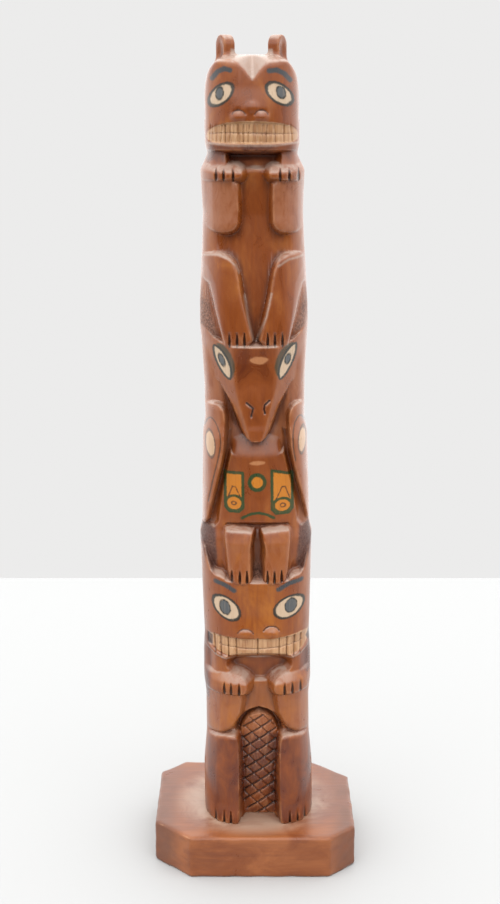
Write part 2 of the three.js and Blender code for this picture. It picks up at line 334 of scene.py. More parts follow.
def bird(height):
    # Body: the neck, the swelling chest and the grooves beside it.
    throat = whole(0.2, [(5, 158), (14, 162), (24, 170), (24, 188)])

    def throat_floor(x, z):
        return NECK + 5.6 * ramp(np.abs(x - 0.2), 7, 17) * ramp(z, 160, 170)

    sink(height, smooth(throat, 1), throat_floor, slope=2)
    chest = [
        (-8.6, 166), (-8.6, 158), (-10, 152.6), (-12.9, 145), (-14.4, 138), (-14.7, 130), (-14.6, 113),
        (15, 113), (15.4, 130), (15.6, 138), (14.4, 145), (11.8, 152.6), (10.2, 158), (9.2, 166),
    ]

    def chest_top(x, z):
        return -4.6 - 0.012 * (x - 0.4) ** 2 - 0.4 * hinge(z - 156, 4)

    lift(height, smooth(chest, 1), chest_top, [WALL, (2.6, 2.6, 0.5)])
    grooves = [
        (8, 168), (12, 165), (13.5, 152), (18, 137), (19.3, 131), (15.2, 131), (14.6, 138), (12.4, 150),
    ]

    wings = [
        (24, 173.5), (18, 176), (14.5, 177), (12, 175.5), (11.1, 172), (11.6, 164), (12.6, 157),
        (14.6, 148.6), (16.8, 140), (18.9, 131), (24, 129),
    ]
    for shape in mirrored(0.8, grooves):
        sink(height, smooth(shape, 1), NECK, slope=3)
    lift_pair(height, 0.8, wings, 0, [(0.5, 0.5, 5), (2.2, 0.5, 0.4)])
    # The dark slot between the chest and the tops of the legs.
    sink(height, whole(0.6, [(11.4, 129.4), (10.8, 131.4)]), -7.4, slope=1.6)
    legs = [
        (2.2, 110.5), (2.0, 118), (2.7, 124), (1.2, 129), (1.8, 130.8), (10.8, 131.2), (12.2, 129.8),
        (11.7, 124), (11.2, 117), (9.8, 110.5),
    ]

    def leg_top(x, z):
        return np.interp(z, [112, 123, 131], [0.9, -0.6, -0.9])

    lift_pair(height, 0.6, legs, leg_top, [(0.5, 0.5, 5), (1.6, 0.8, 0.6)])
    sink(height, [(-0.6, 111.8), (1.6, 111.8), (1.9, 124), (1.1, 131), (0.1, 131), (-1.0, 124)], -7.2)
    bird_head(height)
    for path in WING_LINES:
        score(height, path, 0.7, 0.25, 0.4)
    claws(height, [-8.9, -6, -3.4, 4.1, 6.6, 9.2], 111, 117.4, 1.4)


def bird_head(height):
    """The brow's ledge stands over the face, and the beak's wedge stands clear of the neck."""
    rows = rows_between(158, 208)
    x, z = X[:, rows], Z[:, rows]
    out = np.abs(x - 0.3)
    face_half = np.interp(z, [164, 169.5, 176.5, 185, 198.3, 205], [1.6, 3.2, 5.2, 7.2, 7.8, 7.8])
    proud = np.interp(z, [163, 168, 176.5, 185, 192, 198.3], [0.6, 1.3, 1.2, 0.5, 0.2, 0.6])
    facet = np.interp(z, [176, 186, 198], [1.1, 0.9, 0.6])
    level = proud - facet * hinge(out - face_half, 0.7)
    beak_half = np.interp(
        z,
        [163.6, 164.2, 165.4, 168, 171.9, 176.4, 180.7, 184.5, 186.3, 187.5],
        [0.5, 2.0, 3.6, 4.9, 6.4, 8.2, 10.6, 13.0, 16.5, 30],
    )
    beak_tip = 163.8
    level -= 5 * hinge(0.4 - np.minimum(beak_half - out, z - beak_tip), 0.4)
    brow = np.interp(out, [0, 7, 10, 14.5, 18.5, 30], [198.3, 198.3, 198.6, 200.6, 204.5, 206])
    level -= 5 * hinge(z - brow + 0.3, 0.5)
    height[:, rows] = smooth_max(height[:, rows], level, 0.4)
    for mark in ([(-2.9, 178.2), (-0.6, 176.2), (-1.0, 174.6), (-1.3, 173.2)],
                 [(5.3, 179), (3.5, 177.4), (3.3, 175.8), (3.6, 174.4)]):
        score(height, mark, 0.9, 0.6, 1.0)


def beaver(height):
    # Beside the bird's legs stand the beaver's ears, rough and cut back.
    ears = [
        (15.2, 131.5), (14.6, 122), (12.2, 116), (12.6, 113.9), (15.6, 113.2), (17.4, 115.5), (18.6, 120),
        (19.8, 124), (24, 126.3), (24, 131.5),
    ]
    head = [
        (24, 84), (24, 126), (19.8, 123), (18, 118), (16.4, 113.8), (12.2, 113.4), (11, 112), (0, 112),
        (-0.01, 112), (-11, 112), (-12.2, 113.4), (-16.4, 113.8), (-18, 118), (-19.8, 123), (-24, 126),
        (-24, 84), (-18.4, 83.4), (-15, 81), (-8, 80.3), (0, 80), (8, 80.3), (15, 81), (18.4, 83.4),
    ]
    for shape in mirrored(0.6, ears):
        sink(height, smooth(shape, 1), lambda x, z: -6.6 + 3.4 * ramp(z, 114, 128), slope=4)
    shape = [(x + 0.3, z) for x, z in head]
    lift(height, smooth(shape, 1), 0, [(0.9, 0.9, 4)])
    rows = rows_between(76, 106)
    x, z = X[:, rows], Z[:, rows]
    height[:, rows] += 0.7 * ramp(z, 100, 91) * ramp(np.abs(x), 17, 5) * ramp(z, 79, 84)
    mouth = whole(0.3, [
        (0.01, 81.9), (8, 82.1), (14, 82.8), (18.6, 85.2), (19.6, 88.5), (18.6, 89.8), (8, 89.8),
    ])
    recess(height, smooth(mouth, 1), MOUTH_DEPTH)

    for x, z in ((-4.2, 91.4), (5.3, 92.4)):
        score(height, arch(x, z, 3.0, 2.4), 0.7, 0.6, 0.7)
    notch(height, [(-18.4, 85), (-16.4, 85), (-16.2, 89), (-18.6, 89.4)], 1.4, 0.5)
    notch(height, [(18, 87.6), (19.2, 84.8), (20.4, 86), (20, 89.8)], 1.4, 0.5)

    # Shoulders, throat and arms.
    for shape in mirrored(0.3, [(9.8, 70), (16.4, 70), (16.6, 84), (10.5, 84)]):
        lift(height, shape, -2.4, [(1.5, 1.5, 1.5)])
    sink(height, smooth(whole(0.8, [(4.6, 72.6), (8, 76.2), (10.2, 79.4), (4, 80.4)]), 1), NECK, slope=2)
    arms = [(5.4, 73), (6, 61.4), (8.6, 55), (12, 51.8), (16, 50), (24, 48.8), (24, 70), (16, 75)]

    def arm_top(x, z):
        return np.interp(z, [54, 68], [0, -0.9]) - 0.6 * hinge(np.abs(x - 0.8) - 14.6, 0.7)

    lift_pair(height, 0.8, arms, arm_top, [(1.6, 1.6, 2.0), (3.0, 2.0, 0.4)])
    paws = [(4.9, 68.4), (4.9, 73), (7.6, 75.6), (14, 76), (18, 74.6), (24, 73), (24, 67.3), (7.5, 67.4)]

    def paw_top(x, z):
        return 0.9 - 0.9 * hinge(z - 71.4, 1.2)

    lift_pair(height, 1.2, paws, paw_top, [(0.8, 0.8, 2.4)])
    claws(height, [-12.3, -9.8, -6.8, 10.1, 13, 16.1], 66.8, 73.4)
    beaver_tail(height)


# The tail's two families of parallel scores: rise, spacing, first height and width.
TAIL_SCORES = ((0.67, 4.4, 12, 0.8), (-0.95, 5.6, 20, 0.6))
TAIL_SCORE_COUNT = 20


def beaver_tail(height):
    """The tail leans back towards its foot, and the legs stand either side of it."""
    tail = whole(0.5, [(7.6, 14), (7.6, 49), (6.4, 54), (3.8, 57.4), (0.01, 58.6)])
    around = whole(0.5, [(8.6, 14), (8.6, 49.4), (7.3, 54.8), (4.4, 58.5), (0.01, 59.9)])
    rows = rows_between(10, 66)
    sink(height, smooth(around, 1), -9.6, slope=4)
    tail_y = np.interp(Z[:, rows], [16, 64.6], [-12.7, -16]) + 0.02 * (X[:, rows] - 0.5) ** 2
    depth = inside_distance(smooth(tail, 1), X[:, rows], Z[:, rows])
    level = level_of(tail_y, rows) - 5 * hinge(0.5 - depth, 0.5)
    height[:, rows] = smooth_max(height[:, rows], level, 0.3)
    legs = [
        (7.9, 12), (7.2, 22), (7, 34), (7.2, 47), (8, 50.4), (10, 51), (14, 50.6), (17.4, 48.6),
        (24, 46), (24, 12),
    ]

    def leg_top(x, z):
        return -0.3 + ramp(z, 24, 17) + 0.3 * ramp(z, 34, 46) - 0.5 * hinge(np.abs(x - 0.4) - 15.5, 1)

    lift_pair(height, 0.4, legs, leg_top, [WALL, (2.2, 0.8, 0.5)])
    scores = np.zeros_like(height[:, rows])
    for rise, spacing, start, width in TAIL_SCORES:
        for z in start + spacing * np.arange(TAIL_SCORE_COUNT):
            line = [(-7.4, z - 7.4 * rise), (8.2, z + 8.2 * rise)]
            away = path_distance(line, X[:, rows], Z[:, rows])
            scores = np.maximum(scores, (1 - ramp(away, width * 0.15, width * 0.55)) * width)
    scores *= ramp(depth, 0.3, 0.7)
    height[:, rows] -= scores
    darken(rows, np.minimum(scores, 0.75))
    claws(height, [-16.2, -13, -10.5, 11.8, 14.8, 17.6], 12, 22.5, 1.0)


def teeth(height):
    """The bear's teeth are many rough scratches, and the beaver's are a few clean blocks."""
    rng = np.random.default_rng(5)
    places = [
        -14.6, -13.4, -12.1, -10.6, -9.2, -7.6, -6.2, -4.6, -3.1, -1.4, 0.2, 1.6, 3.3, 4.8, 7.8, 10.8, 13.6,
    ]
    for x in places:
        lean, depth, dark = rng.uniform((-0.5, 0.3, 0.2), (0.5, 0.8, 0.6))
        score(height, [(x + lean, 274.7), (x - lean * 0.3, 268.8)], 0.6, depth, dark)
    score(height, [(-15.2, 271.6), (-8, 271.9), (2, 271.7), (15.4, 271.5)], 0.7, 0.4)
    for x in (-15.6, -13.4, -10.6, -7.6, 0.3, 8.2, 11, 13.8, 16.2):
        score(height, [(x, 90), (x * 0.985, 82)], 0.8, 1.0)
    score(height, [(-14, 86.4), (-6, 86), (0.3, 85.9), (8, 86.2), (17, 87.2)], 0.6, 0.5)


height_map = np.full(X.shape, BELLY)
# Dark stain, with painted shade, in the scored lines and cuts.
stain_and_shade_map = np.zeros(X.shape)
bear_body(height_map)
bird(height_map)
beaver(height_map)
bear_head(height_map)
teeth(height_map)


# ---- the field of distances ----


def blank_field():
    """Negative inside the relief-carved blank."""
    field = np.empty((len(x_line), len(y_line), len(z_line)), np.float32)
    across = ((np.abs(X) / half_width) ** squareness).astype(np.float32)
    reach = half_width + FRONT_BULGE + height_map
    for j, y in enumerate(y_line):
        depth = reach if y < 0 else half_width
        total = across + (abs(y) / depth) ** squareness
        field[:, j, :] = (total ** (1 / squareness) - 1) * half_width
    return field


def grid(x_range, y_range, z_range):
    """The part of the grid within three ranges, and its coordinates ready to combine."""
    ends = ((x_line, x_range), (y_line, y_range), (z_line, z_range))
    cut = tuple(slice(*np.searchsorted(line, pair)) for line, pair in ends)
    return (cut, *np.ix_(x_line[cut[0]], y_line[cut[1]], z_line[cut[2]]))


def blob(field, centre, radii, reach):
    """Adds a rounded lump that runs smoothly into what is there."""
    ranges = [(c - r - 2, c + r + 2) for c, r in zip(centre, radii)]
    cut, x, y, z = grid(*ranges)
    squares = (((line - c) / r) ** 2 for line, c, r in zip((x, y, z), centre, radii))
    length = np.sqrt(sum(squares))
    field[cut] = smooth_min(field[cut], (length - 1) * min(radii), reach)


def head_dome(field):
    """Rounds the bear's head over its top, from the front and from the side."""
    cut, x, y, z = grid((-30, 30), (-30, 30), (276, 320))
    # From the front: upright sides that turn into a broad arch.
    sx = (np.abs(x) / 16.9) ** 3.0
    sz = (np.maximum(z - 284, 0) / 14.7) ** 2.3
    front = ((sx + sz) ** (1 / 2.6) - 1) * 15
    # From the side: a flat brow, and over it a top that rises a little and falls away behind.
    crown = z - (298.7 - 0.0125 * (y + 1) ** 2)
    behind = (np.abs(y + 1.0) / 18.6) ** 3.2 + (np.maximum(z - 282, 0) / 16.9) ** 2.6
    behind = behind ** (1 / 2.8) * 15 - 15
    side = np.where(y < -1, crown, np.maximum(behind, crown))
    field[cut] = smooth_max(smooth_max(field[cut], front, 1.2), side, 1.6)
    # The valley that runs up and back from the middle of the brow.
    cut, x, y, z = grid((-30, 30), (-30, 6), (286, 320))
    floor = 289.3 + (y + 18.2) * 0.8
    valley = (floor + 2.3 * ((x - 0.3) ** 2 + 0.8) ** 0.325 - 1.9 - z) * 0.6
    field[cut] = smooth_max(field[cut], -valley, 0.5)


def ears(field):
    """Two short arched bars whose open outer ends look forwards."""
    cut, x, y, z = grid((-20, 20), (-16, 8), (290, 320))
    turn = math.radians(27)
    half_length, half_thick = 2.1, 3.55
    for side in (-1, 1):
        out = side * x - 10.9
        # u runs along the bar to its open end, and v across it.
        u = out * math.cos(turn) - (y + 5) * math.sin(turn)
        v = out * math.sin(turn) + (y + 5) * math.cos(turn)
        bend_up = np.maximum(z - (TOP - 0.1 - half_thick), 0)
        section = np.sqrt(v**2 + bend_up**2) - half_thick
        bar = smooth_max(section, np.abs(u + half_length) - half_length, 0.5)
        scoop = np.sqrt(((u - 1.2) / 2.2) ** 2 + (v / 2.9) ** 2 + ((z - 297) / 7.0) ** 2)
        bar = smooth_max(bar, (1 - scoop) * 2, 0.4)
        field[cut] = smooth_min(field[cut], bar, 1.6)


field = blank_field()
head_dome(field)
# The wings of the bear's nose and of the beaver's, and then the middle of the bear's.
for side in (-1, 1):
    blob(field, (side * 3.9 - 0.7, -17.9, 277.3), (2.5, 2.4, 1.9), 1.0)
    blob(field, (0.6 + side * 4.7, -20.2, 91.9), (3.0, 2.6, 2.1), 1.0)
    # A slot stands open behind each of the beaver's legs.
    cut, x, y, z = grid((-24, 24), (-14, 2), (14, 44))
    slot = np.sqrt(((x - side * 20.4) / 1.9) ** 2 + ((y + 6) / 1.3) ** 2 + ((z - 27.5) / 9) ** 2)
    field[cut] = smooth_max(field[cut], (1 - slot) * 1.3, 0.4)
blob(field, (0.1, -17.6, 280.4), (2.4, 2.2, 2.2), 1.0)
ears(field)
np.maximum(field, (FOOT - z_line)[None, None, :], out=field)


# ---- from the field to a mesh ----


def mesh_of(field, lines):
    """Surface nets: one point in each cell that the surface crosses, and a face for each edge."""
    shape = np.array(field.shape)
    inside = field < 0
    strides = np.array([shape[1] * shape[2], shape[2], 1])
    sums, quads = [], []
    for axis in range(3):
        low = [slice(None)] * 3
        high = [slice(None)] * 3
        low[axis], high[axis] = slice(0, -1), slice(1, None)
        ahead = inside[tuple(low)] != inside[tuple(high)]
        index = np.array(np.nonzero(ahead)).T
        other = [k for k in range(3) if k != axis]
        keep = np.all(index[:, other] > 0, axis=1) & np.all(index[:, other] < shape[other] - 1, axis=1)
        index = index[keep]
        after = index.copy()
        after[:, axis] += 1
        a, b = field[tuple(index.T)], field[tuple(after.T)]
        place = np.stack([line[index[:, k]] for k, line in enumerate(lines)], axis=1)
        t = a / (a - b)
        gap = lines[axis][after[:, axis]] - lines[axis][index[:, axis]]
        place[:, axis] += t * gap
        home = index @ strides
        p, q = strides[other[0]], strides[other[1]]
        cells = np.stack([home, home - p, home - p - q, home - q], axis=1)
        flip = (a < 0) == (axis == 1)
        cells[flip] = cells[flip][:, ::-1]
        sums.append((cells.reshape(-1), np.repeat(place, 4, axis=0)))
        quads.append(cells)
    cells = np.concatenate([entry[0] for entry in sums])
    places = np.concatenate([entry[1] for entry in sums])
    names, order = np.unique(cells, return_inverse=True)
    count = np.bincount(order)
    points = np.stack([np.bincount(order, places[:, k]) / count for k in range(3)], axis=1)
    faces = np.searchsorted(names, np.concatenate(quads))
    return points, faces


def sampled(field, lines, points):
    """The field's value at any points, between its grid's own."""
    low, share = [], []
    for k in range(3):
        place = np.interp(points[:, k], lines[k], np.arange(len(lines[k])))
        base = np.minimum(np.floor(place).astype(int), len(lines[k]) - 2)
        low.append(base)
        share.append(place - base)
    total = 0
    for corner in range(8):
        bits = [(corner >> k) & 1 for k in range(3)]
        weight = np.prod([share[k] if bits[k] else 1 - share[k] for k in range(3)], axis=0)
        total = total + weight * field[tuple(low[k] + bits[k] for k in range(3))]
    return total


def new_mesh(name, points, faces):
    """An object in the scene, from its points in metres and faces with equal numbers of corners."""
    mesh = bpy.data.meshes.new(name)
    mesh.vertices.add(len(points))
    mesh.vertices.foreach_set("co", np.asarray(points, np.float32).reshape(-1))
    mesh.loops.add(faces.size)
    mesh.loops.foreach_set("vertex_index", faces.reshape(-1).astype(np.int32))
    mesh.polygons.add(len(faces))
    starts = np.arange(0, faces.size, faces.shape[1], dtype=np.int32)
    mesh.polygons.foreach_set("loop_start", starts)
    mesh.update(calc_edges=True)
    piece = bpy.data.objects.new(name, mesh)
    bpy.context.scene.collection.objects.link(piece)
    return piece


def coordinates(mesh):
    flat = np.empty(len(mesh.vertices) * 3, np.float32)
    mesh.vertices.foreach_get("co", flat)
    return flat.reshape(-1, 3).astype(float)


# ---- paint, stain and painted light on the pole ----

# Ovals are centre x and z, half width, half height and tilt in degrees.
ROUND_EYES = (
    (-10.6, 284.7, 4.9, 2.8, 39), (9.5, 285, 5.1, 3, -34),
    (-11.2, 101.4, 5.6, 3.8, -38), (12, 101.7, 5.7, 3.9, 22),
)
PUPILS = (
    (-11, 285.1, 1.3, 2.1, -8), (10, 285.4, 1.5, 2.1, 20), (-11.6, 192.9, 1, 2.2, 20),
    (11.9, 193.3, 1, 1.8, -12), (-11.6, 101.6, 1.9, 2.8, 14), (12.6, 102.2, 2.2, 2.7, -14),
)
WING_OVALS = ((-16.2, 161.9, 1.8, 4.8, 3), (17.1, 163, 1.5, 4.7, -3))
DISCS = ((-7.8, 140, 3.1, 2.8, 0), (9.8, 139.1, 3.4, 2.6, 0))
DISC_DOTS = ((-7.9, 140, 0.8, 0.6, 0), (9.9, 139.1, 0.9, 0.7, 0))
RING, RING_FILL = ((0.6, 148, 2.7, 2.8, 0),), ((0.6, 148, 2.4, 2.5, 0),)
# The bird's eyes: from corner to corner, and the bulge to the left and right of that line.
LONG_EYES = (((-14.2, 197.9), (-8.8, 186.4), 2.4, 1.9), ((9.1, 186.4), (14.8, 198.6), 2.3, 1.8))
BROWS = (
    [(-13.5, 290.2), (-11.6, 292.3), (-9.2, 293.3), (-7.4, 292.7)],
    [(5.9, 292.5), (8.6, 292.8), (11.2, 291.6), (13.2, 289.6)],
    [(-15, 111.1), (-11.4, 110.3), (-8.1, 108.4)], [(8, 108.9), (12, 110.9), (16.6, 111.3)],
)


def almond(start, end, left, right):
    """A long eye between two corners, with its bulge on either side in mm."""
    start, end = np.array(start), np.array(end)
    along = end - start
    across = np.array([-along[1], along[0]]) / np.hypot(*along)
    turn = np.radians(np.arange(0, 360, 20))
    bulge = np.where(turn < math.pi, left, right) * np.sin(turn) * np.abs(np.sin(turn)) ** 0.3
    return start + np.outer((1 - np.cos(turn)) / 2, along) + np.outer(bulge, across)


def box_of(left, right, low, high, tilt):
    """A painted panel with its lower corners cut, its top edge falling to the right by a tilt."""
    return [
        (left, low + 1.6), (left + 1.4, low), (right - 1.4, low), (right, low + 1.6),
        (right, high - tilt), (left, high),
    ]


PANELS = (box_of(-11, -4.6, 137, 151.4, 0), box_of(6, 13.4, 136.2, 152.2, 1.6))
# The depth of a point that is far from every painted shape, and how far is far, in mm.
OUTSIDE, NEARBY = -9.0, 4


class Surface:
    """The carved surface's points in the pole's own frame, and what lies on the maps there."""

    def __init__(self, places):
        self.x = places[:, 0] - LEAN_FOOT - LEAN_SLOPE * (places[:, 2] - FOOT)
        self.y, self.z = places[:, 1], places[:, 2]
        self.front = ramp(-self.y, 1.0, 4.0)

    def read(self, values):
        """A map's value at each point."""
        u = np.clip((self.x - x_line[0]) / STEP, 0, len(x_line) - 1.001)
        v = np.clip((self.z - z_line[0]) / STEP, 0, len(z_line) - 1.001)
        i, j = u.astype(int), v.astype(int)
        s, t = u - i, v - j
        low = values[i, j] * (1 - s) + values[i + 1, j] * s
        high = values[i, j + 1] * (1 - s) + values[i + 1, j + 1] * s
        return low * (1 - t) + high * t

    def near(self, shape):
        """The points on the front that a shape's paint can reach."""
        low, high = np.min(shape, axis=0) - NEARBY, np.max(shape, axis=0) + NEARBY
        within = (self.x > low[0]) & (self.x < high[0]) & (self.z > low[1]) & (self.z < high[1])
        return within & (self.y < 0)

    def area(self, shapes):
        """The greatest depth inside any of the closed shapes, in mm; less than nought outside."""
        best = np.full(self.x.shape, OUTSIDE)
        for shape in shapes:
            near = self.near(shape)
            best[near] = np.maximum(best[near], inside_distance(shape, self.x[near], self.z[near]))
        return best

    def line(self, paths, width, closed=True):
        """How far inside a painted line of this width each point lies, in mm."""
        best = np.full(self.x.shape, OUTSIDE)
        for path in paths:
            near = self.near(path)
            away = path_distance(path, self.x[near], self.z[near], closed)
            best[near] = np.maximum(best[near], width / 2 - away)
        return best

    def ovals(self, rows):
        """The depth inside the tilted ovals, in mm."""
        best = np.full(self.x.shape, OUTSIDE)
        for cx, cz, rx, rz, tilt in rows:
            cos, sin = math.cos(math.radians(tilt)), math.sin(math.radians(tilt))
            u = (self.x - cx) * cos + (self.z - cz) * sin
            v = (self.z - cz) * cos - (self.x - cx) * sin
            depth = (1 - np.sqrt((u / rx) ** 2 + (v / rz) ** 2)) * min(rx, rz)
            best = np.maximum(best, np.where(self.y < 0, depth, OUTSIDE))
        return best

    def rings(self, rows, width):
        """How far inside a line of this width round the ovals each point lies, in mm."""
        return width / 2 - np.abs(self.ovals(rows))


def open_line(path):
    """An open path, doubled back and smoothed so that it can be drawn as a closed one."""
    return smooth(list(path) + list(path)[::-1], 1)


# Edges and ledges with a painted highlight; along the top edge of the bear's lower lip the pale is paint.
PALE_LINES = (
    [(-3.2, 216), (-2.2, 209), (-0.2, 200.2)], [(6.2, 217), (4.4, 209), (0.9, 200.2)],
    [(-7.6, 198.3), (7.6, 198.3)], [(-15.6, 268.4), (-8, 267.6), (8, 267.6), (16, 268.6)],
    [(-17.4, 229.6), (-12.8, 230.3), (-9, 229.2), (-6, 226.6), (-5, 224)],
    [(8.7, 226.4), (12.2, 228.6), (17.4, 229.4)],
    [(-17.6, 82.6), (-9, 80.9), (0, 80.2), (9, 80.9), (17.6, 82.8)],
    [(-10.4, 130.4), (-1.8, 130.3)], [(2.8, 130.5), (11.4, 130.8)],
)
# The pale valley on the bear's crown: a painted reflection of the light from above.
CROWN = [
    (-7.6, 296.8), (-6.4, 296.2), (-4.6, 295.4), (-2.2, 293), (0.3, 289.4), (2.8, 293), (5, 295.4),
    (6.8, 296.2), (7.8, 296.8), (7.2, 300), (-7, 300),
]
# The dark band above and beside each of the bird's eyes.
LIDS = (
    [(-13.8, 198.9), (-11.4, 199), (-8.8, 196.8), (-6.9, 192.6), (-6.9, 189.2), (-8, 186.4),
     (-9.2, 188), (-10, 193.4), (-12.6, 197)],
    [(14.6, 199.3), (11.9, 199), (9, 196.6), (7.2, 192.4), (7.2, 189.4), (8.6, 186.6), (9.8, 190),
     (10.6, 194), (13, 197.4)],
)
MOUTHS = (
    [(-16.1, 268.9), (-15.7, 272.9), (-9.6, 275.3), (-2, 276), (4, 275.8), (10, 275.2), (15.6, 273.6),
     (16.3, 268.9), (8, 268.1), (-8, 268.1)],
    [(-18.2, 90.2), (-10, 90), (0.3, 89.8), (10, 90.4), (19, 91.2), (19.2, 87.4), (17.6, 84.2),
     (13, 82.6), (5, 81.9), (0, 81.8), (-5, 82), (-12, 82.9), (-17, 85)],
)
CHIPS = (
    [(-2.2, 193.6), (0.2, 194.9), (2.6, 194.7), (5.4, 194.2), (3.6, 192.2), (0.6, 192)],
    [(-2.6, 155.2), (0, 156), (3.8, 155.8), (3.2, 154.6), (-1, 154.3)],
)
CHEST_ARC = [(-5, 134.6), (-2.2, 136.2), (0.8, 136.7), (3.8, 136.1), (6.6, 134.6)]
WEDGES = ([(-9.9, 142.4), (-7.9, 147.6), (-5.6, 142.4)], [(7.6, 141.6), (10.3, 147.4), (12.4, 141.8)])


def paint(surface):
    """The painted and stained areas, each as a depth in mm that is above nought inside it."""
    long_eyes = [almond(*eye) for eye in LONG_EYES]
    green = (
        surface.line(PANELS, 1.1), surface.line([open_line(CHEST_ARC)], 1),
        surface.rings(RING, 1.4), surface.rings(DISCS, 1),
    )
    fine = (
        surface.rings(WING_OVALS, 0.4), surface.rings(DISC_DOTS, 0.5),
        surface.line([open_line(path) for path in WING_LINES + WEDGES], 0.5),
    )
    outline = (
        surface.line(long_eyes, 0.8), surface.rings(ROUND_EYES, 0.8), surface.rings(PUPILS, 0.4),
    )
    return {
        "white": np.maximum(surface.area(long_eyes), surface.ovals(ROUND_EYES)),
        "pupil": surface.ovals(PUPILS),
        "outline": np.maximum.reduce(outline),
        "brow": surface.line(BROWS, 1.7, closed=False),
        "lid": surface.area(map(smooth, LIDS)),
        "teeth": surface.area(map(smooth, MOUTHS)),
        "green": np.maximum.reduce(green),
        "ochre": np.maximum(surface.area(PANELS), surface.ovals(RING_FILL)),
        "fine": np.maximum.reduce(fine),
        "cream": surface.ovals(WING_OVALS),
        "painted_gloss": np.maximum(surface.line(PALE_LINES, 0.55, closed=False), surface.area([CROWN])),
        "chip": surface.area(map(smooth, CHIPS)),
    }


TAIL_FACE = whole(0.5, [(9, 14), (9, 50), (5, 59)])


def bend(surface, reach):
    """How the surface bends over a reach in mm: above nought on edges and below it in corners."""
    places = np.stack([surface.x, surface.y, surface.z], axis=1)
    lines = (x_line, y_line, z_line)
    around, steepness = 0, 0
    for offset in np.eye(3) * reach:
        ahead, behind = sampled(field, lines, places + offset), sampled(field, lines, places - offset)
        around = around + ahead + behind
        steepness = steepness + ((ahead - behind) / (2 * reach)) ** 2
    middle = sampled(field, lines, places)
    return (around / 6 - middle) / reach / np.sqrt(np.maximum(steepness, 0.05))


# Each tone's outline, how far it fades, its warmth (above nought orange and below it dark red-brown,
# mostly painted shade in the recesses and behind the limbs) and its milkiness (a painted pale pinkish sheen).
FIGURE_TONES = (
    (whole(0.4, [(6, 198), (7, 262)]), 1.6, 0.05, 0),
    (whole(0.4, [(18, 262), (16, 266), (15, 268)]), 1, -0.45, 0),
    ([(-17, 238), (-5.5, 239), (-5, 255.6), (-17, 255.6)], 1, -0.15, 0.85),
    ([(17.5, 238), (7, 238), (6.4, 255.6), (17.5, 255.6)], 1, -0.2, 0.75),
    ([(-14, 228), (-6, 224), (-1, 199), (-11, 199), (-13, 212)], 1.2, 0.05, 0),
    ([(15, 228), (8, 224), (1.5, 199), (11, 199), (14, 212)], 1.2, -0.02, 0),
    (whole(0.3, [(10, 158), (24, 172), (24, 200), (12, 200)]), 1.4, 0, 0.75),
    (whole(0.3, [(0.5, 163.5), (4.6, 166), (9, 177), (13, 184.5), (13, 198)]), 0.5, 0.1, 0.35),
    (whole(0.3, [(2, 166), (6, 180), (7.4, 197.8)]), 0.6, -0.2, 0),
    (whole(0.8, [(18.9, 131), (14.6, 148.6), (12.6, 157), (11.2, 172), (14, 177), (24, 176), (24, 131)]),
     0.8, 0.1, 0.6),
    (whole(0.5, [(15, 133), (14, 140), (9, 158), (8, 166)]), 0.8, -0.1, 0.1),
    (whole(0.6, [(11, 113), (11, 127)]), 1.4, 0.2, 0.55),
    (whole(0.3, [(14, 81), (9, 96), (12, 112)]), 4, 0.35, 0),
    ([(-22, 131), (-14.8, 131), (-14.4, 116), (-16.3, 113.6), (-22, 126)], 0.6, -0.95, 0),
    ([(23, 131), (16, 131), (14.6, 116), (16.9, 113.6), (23, 126)], 0.6, -0.95, 0),
    (whole(0.4, [(24, 14), (24, 22), (8, 24)]), 5, -0.6, 0),
    (whole(0.6, [(4.6, 67), (6.6, 69), (14, 70), (18, 69), (18, 75), (8, 76), (5, 73)]), 0.8, 0.3, 0.4),
    (whole(0.4, [(5.5, 50), (24, 52), (24, 66), (5, 70)]), 1.4, 0.25, 0.45),
    (whole(0.4, [(20.5, 17), (20.5, 44), (18, 49), (8, 50)]), 1.4, -0.5, 0),
    ([(-23, 92), (-18, 88), (-16.8, 80), (-18.2, 62), (-23, 60)], 0.8, -0.6, 0),
    ([(23, 92), (19.6, 86), (16.3, 81), (15.4, 75), (19.6, 73), (23, 72)], 0.8, -0.6, 0),
)
ROUGH_PATCHES = (
    [(-22, 217), (-16.4, 216), (-14.6, 208), (-12.6, 200.2), (-14.4, 200.6), (-18.5, 204.6), (-22, 205)],
    [(22, 218), (17.6, 216), (15.6, 208), (13.6, 201.6), (15.6, 202), (19, 205.6), (23, 207)],
    [(-22, 131), (-15, 131), (-14.6, 122), (-14.2, 116), (-16.3, 113.6), (-18.2, 119), (-19.8, 125),
     (-22, 127)],
    [(23, 131), (16, 131), (15.4, 122), (14.4, 116), (16.9, 113.6), (19, 119), (20.6, 125), (23, 127)],
    [(-1.8, 111.8), (2.8, 111.8), (2.8, 118), (-1.8, 118)],
)


